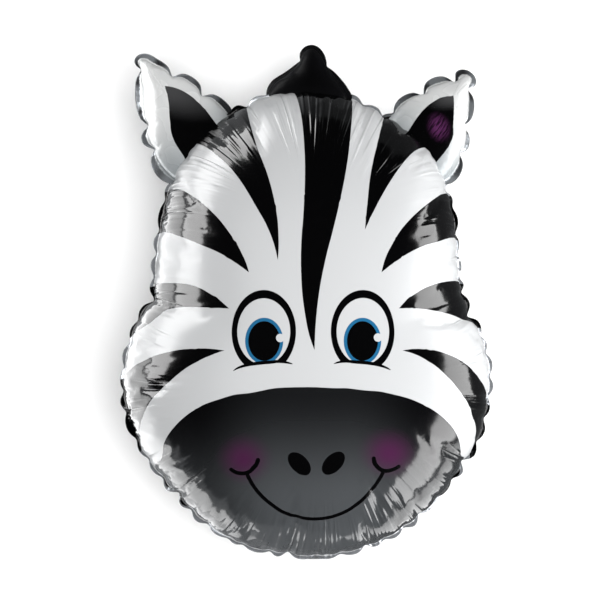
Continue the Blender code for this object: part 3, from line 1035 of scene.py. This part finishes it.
for drop, next_width, next_out in TAIL_STEPS:
    shape = bmesh.from_edit_mesh(tail.data)
    lowest = min(vert.co.z for vert in shape.verts)
    for vert in shape.verts:
        vert.select_set(vert.co.z < lowest + 0.0001)
    shape.select_flush(True)
    bmesh.update_edit_mesh(tail.data)
    bpy.ops.mesh.extrude_region_move(TRANSFORM_OT_translate={"value": (0, out - next_out, -drop)})
    bpy.ops.transform.resize(value=(next_width / width, 1, 1),
                             center_override=(tail_spot.x, tail_spot.y, lowest - drop))
    width, out = next_width, next_out
bpy.ops.mesh.select_all(action="SELECT")
bpy.ops.mesh.normals_make_consistent(inside=False)
bpy.ops.mesh.subdivide(number_cuts=2)
bpy.ops.object.mode_set(mode="OBJECT")
thick = tail.modifiers.new("two_sheets", "SOLIDIFY")
thick.thickness = TAIL_THICKNESS
thick.offset = 0
rounded = tail.modifiers.new("rounded", "SUBSURF")
rounded.levels = rounded.render_levels = 2
for modifier in (thick.name, rounded.name):
    bpy.ops.object.modifier_apply(modifier=modifier)
bpy.ops.object.shade_smooth()
film = bpy.data.materials.new("bare_silver_film")
film.use_nodes = True
film_shader = film.node_tree.nodes["Principled BSDF"]
film_value = Value(film.node_tree)
place = film_value.node("ShaderNodeTexCoord", {}, {}, "Object")
grain = place.node("ShaderNodeTexNoise", {}, {"Vector": place, "Scale": 90.0, "Detail": 3.0}, "Fac")
sealed = place.node("ShaderNodeTexWave", {"bands_direction": "X"}, {"Vector": place, "Scale": 110.0}, "Fac")
colour = grain.mix((*TAIL_SHADE, 1), (*TAIL_SILVER, 1))
bump = place.node("ShaderNodeBump", {}, {"Distance": 0.0003, "Height": sealed * 0.3 + grain}, "Normal")
film.node_tree.links.new(colour.socket, film_shader.inputs["Base Color"])
film.node_tree.links.new((grain * 0.2 + 0.2).socket, film_shader.inputs["Roughness"])
film.node_tree.links.new(bump.socket, film_shader.inputs["Normal"])
film_shader.inputs["Metallic"].default_value = 0.8
tail.data.materials.append(film)
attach(tail, "root")
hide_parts("foil_balloon")


# The floor and the lights
# A plain pale floor in a studio with a dark ceiling, which keeps the black ink black. A long softbox
# at each side and three low reflectors give the bright bands that the photograph shows in the black
# stripes and on the muzzle, and a broad light from above lights the print evenly. Outside the bands
# the foil mirrors the room and not the floor: pale to its left, and dark to its right and behind it.
FLOOR_SIZE = 14
FLOOR_GAP = 0.0006
FLOOR_COLOUR = (0.95, 0.95, 0.95)
ROOM_COLOUR = (0.94, 0.97, 1.0)
LEFT_GLOW = 0.8
RIGHT_GLOW = 0.12
CEILING_GLOW = 0.01
bpy.ops.mesh.primitive_plane_add(size=FLOOR_SIZE, location=(0, 0, -FLOOR_GAP))
floor = bpy.context.object
floor.name = "floor"
floor_material = bpy.data.materials.new("pale_floor")
floor_material.use_nodes = True
floor_shader = floor_material.node_tree.nodes["Principled BSDF"]
floor_shader.inputs["Base Color"].default_value = (*FLOOR_COLOUR, 1)
floor_shader.inputs["Roughness"].default_value = 0.7
floor.data.materials.append(floor_material)
floor.visible_glossy = False

room = bpy.data.worlds.new("studio")
scene.world = room
room.use_nodes = True
backdrop = room.node_tree.nodes["Background"]
backdrop.inputs["Color"].default_value = (*ROOM_COLOUR, 1)
direction = Value(room.node_tree).node("ShaderNodeTexCoord", {}, {}, "Generated")
upward = direction.node("ShaderNodeSeparateXYZ", {}, {0: direction}, "Z")
rightward = direction.node("ShaderNodeSeparateXYZ", {}, {0: direction}, "X")
glow = upward.ramp(0.0, 0.12, 1.0, CEILING_GLOW) * rightward.ramp(-0.5, 0.3, LEFT_GLOW, RIGHT_GLOW)
room.node_tree.links.new(glow.socket, backdrop.inputs["Strength"])

LIGHTS = (
    # (name, place, what it faces, width, height, watts, it lights the print, the foil reflects it)
    ("left_softbox", (-1.55, 1.05, 0.52), (0, 0, 0.15), 3.0, 1.0, 88, False, True),
    ("right_softbox", (1.75, -0.55, 0.55), (0, 0, 0.15), 2.9, 1.0, 68, True, True),
    ("left_reflector", (-0.85, -0.45, 0.003), (-0.85, -0.45, 5.0), 1.1, 2.0, 31, False, True),
    ("muzzle_reflector", (-0.23, -0.475, 0.003), (-0.23, -0.475, 5.0), 0.14, 0.29, 0.26, False, True),
    ("chin_reflector", (0.60, -0.75, 0.003), (0.60, -0.75, 5.0), 0.8, 0.75, 6, False, True),
    ("ceiling_light", (0, 0, 4.0), (0, 0, 0), 4.0, 4.0, 245, True, False),
)
for name, place, faced, width, height, watts, lights_print, in_foil in LIGHTS:
    light = bpy.data.lights.new(name, "AREA")
    light.shape = "RECTANGLE"
    light.size, light.size_y = width, height
    light.energy = watts
    lamp = bpy.data.objects.new(name, light)
    scene.collection.objects.link(lamp)
    lamp.location = place
    lamp.rotation_euler = (Vector(faced) - Vector(place)).to_track_quat("-Z", "Y").to_euler()
    lamp.visible_camera = False
    lamp.visible_diffuse = lights_print
    lamp.visible_glossy = in_foil
scene.view_settings.view_transform = "Standard"
